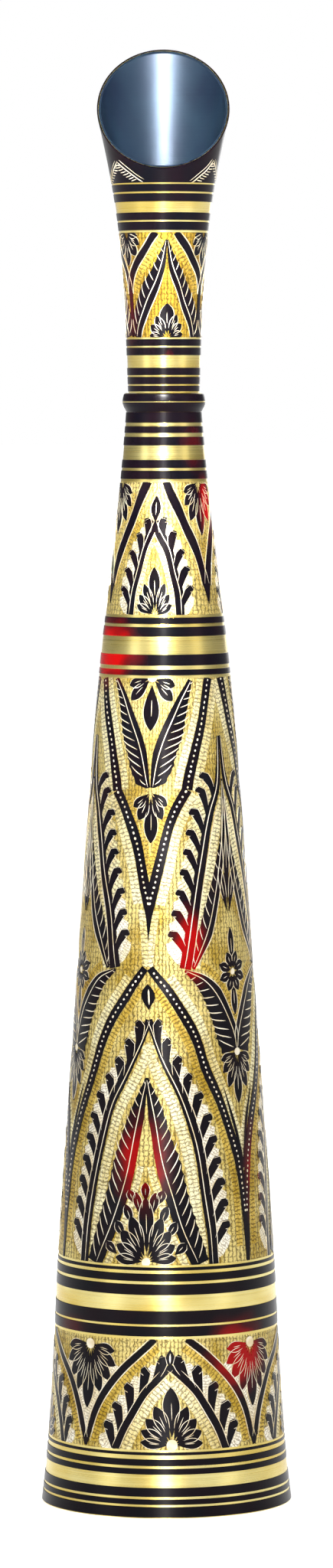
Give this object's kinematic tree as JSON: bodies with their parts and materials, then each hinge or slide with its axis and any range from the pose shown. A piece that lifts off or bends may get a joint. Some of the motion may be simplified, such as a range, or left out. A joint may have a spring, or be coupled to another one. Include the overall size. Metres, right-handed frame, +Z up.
{
  "type": "engraved brass vase",
  "caption": "Tall tapering vase of engraved, lacquered brass on a wide flat foot, with a collar ring and a screw-in neck that flares to a slant-cut mouth; it stands and holds long stems.",
  "frame": {"origin": "centre of the foot's resting plane, on the vase's axis", "axes": "+Z up along the axis, -Y towards the low side of the slanted mouth, +X to the right seen from that side"},
  "size_m": [0.105, 0.105, 0.61],
  "materials": {
    "brass": "satin, turned in the plain bands and chisel-hatched in the engraved fields",
    "black_lacquer": "glossy black lacquer with deep red patches",
    "lining_lacquer": "satin blue-black lacquer over turning marks"
  },
  "bodies": {
    "body": {"foot_section": "brass", "main_section": "brass", "upper_section": "brass", "lower_seam_sleeve": "brass", "upper_seam_sleeve": "brass", "base_plate": "brass", "threaded_bush": "brass", "foot_band_lacquer": "black_lacquer", "foot_field_lacquer": "black_lacquer", "lower_band_lacquer": "black_lacquer", "main_field_lacquer": "black_lacquer", "middle_band_lacquer": "black_lacquer", "upper_field_lacquer": "black_lacquer", "shoulder_band_lacquer": "black_lacquer"},
    "collar": {"collar_ring": "brass", "collar_lacquer": "black_lacquer"},
    "neck": {"neck_and_mouth": "brass", "threaded_spigot": "brass", "neck_band_lacquer": "black_lacquer", "neck_field_lacquer": "black_lacquer", "mouth_band_lacquer": "black_lacquer", "mouth_field_lacquer": "black_lacquer", "mouth_lining_lacquer": "lining_lacquer"}
  },
  "joints": [
    {"name": "neck_rise", "type": "slide", "parent": "body", "child": "collar", "axis": [0, 0, 1], "range_m": [0, 0.01375]},
    {"name": "neck_unscrew", "type": "hinge", "parent": "collar", "child": "neck", "pos_m": [0, 0, 0.4645], "axis": [0, 0, 1], "range_deg": [0, 1980]}
  ],
  "couplings": [
    {"joint": "neck_rise", "follows": "neck_unscrew", "m_per_rad": 0.00039789}
  ]
}
